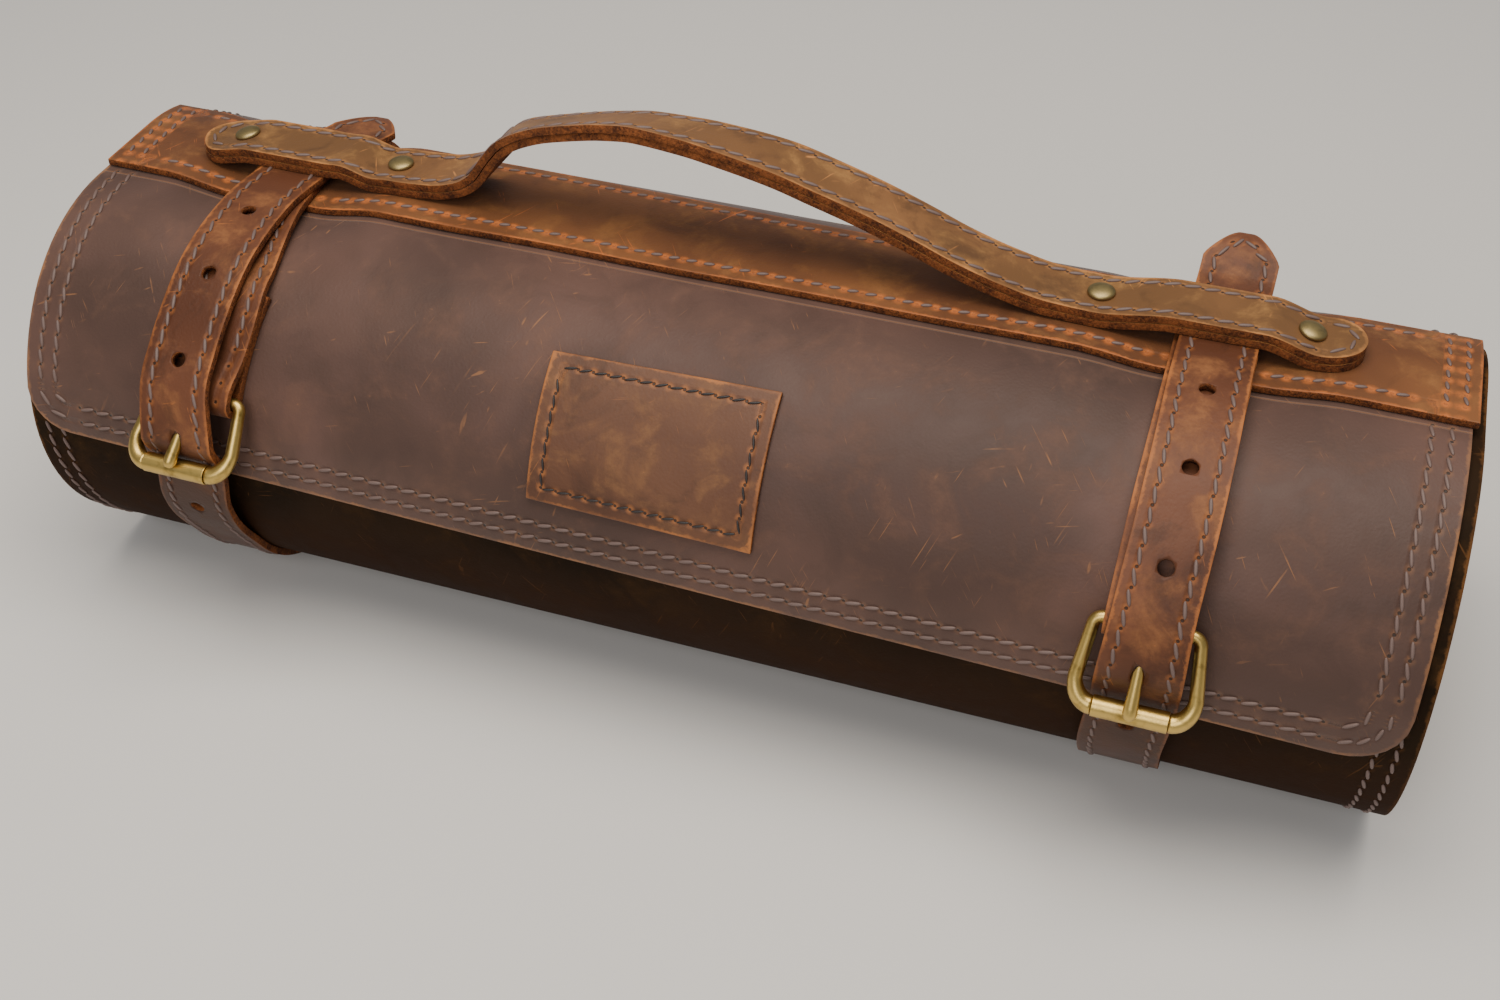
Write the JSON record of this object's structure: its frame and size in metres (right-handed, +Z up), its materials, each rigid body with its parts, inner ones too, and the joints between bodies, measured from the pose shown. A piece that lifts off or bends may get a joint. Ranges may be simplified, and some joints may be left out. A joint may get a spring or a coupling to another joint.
{
  "type": "leather chef's knife roll",
  "caption": "Rolled-up leather knife roll with a flap edge at the front, two buckled straps, a riveted arched handle on a top reinforcement, and a stitched front patch.",
  "frame": {"origin": "middle of the bounding box at its underside, where the straps rest on the surface", "axes": "+Z up, +X along the roll towards the end with the wider-set strap tip, -Y towards the front with the buckles and the patch"},
  "size_m": [0.4638, 0.183, 0.1827],
  "materials": {
    "roll_leather": "dark brown oiled pull-up leather, scuffed",
    "panel_leather": "lighter brown oiled leather, raw cut edges",
    "handle_leather": "lighter brown oiled leather, two layers stitched",
    "strap_leather": "reddish brown oiled leather, raw cut edges",
    "patch_leather": "dark brown smooth leather",
    "aged_brass": "satin antique brass"
  },
  "bodies": {
    "root": {"roll_sheet": "roll_leather", "top_panel": "panel_leather", "handle_lower_layer": "handle_leather", "handle_upper_layer": "handle_leather", "rivet_left_outer": "aged_brass", "rivet_left_inner": "aged_brass", "rivet_right_inner": "aged_brass", "rivet_right_outer": "aged_brass", "strap_left": "strap_leather", "strap_right": "strap_leather", "buckle_frame_left": "aged_brass", "buckle_frame_right": "aged_brass", "buckle_roller_left": "aged_brass", "buckle_roller_right": "aged_brass", "buckle_prong_left": "aged_brass", "buckle_prong_right": "aged_brass", "label_patch": "patch_leather"}
  },
  "joints": []
}
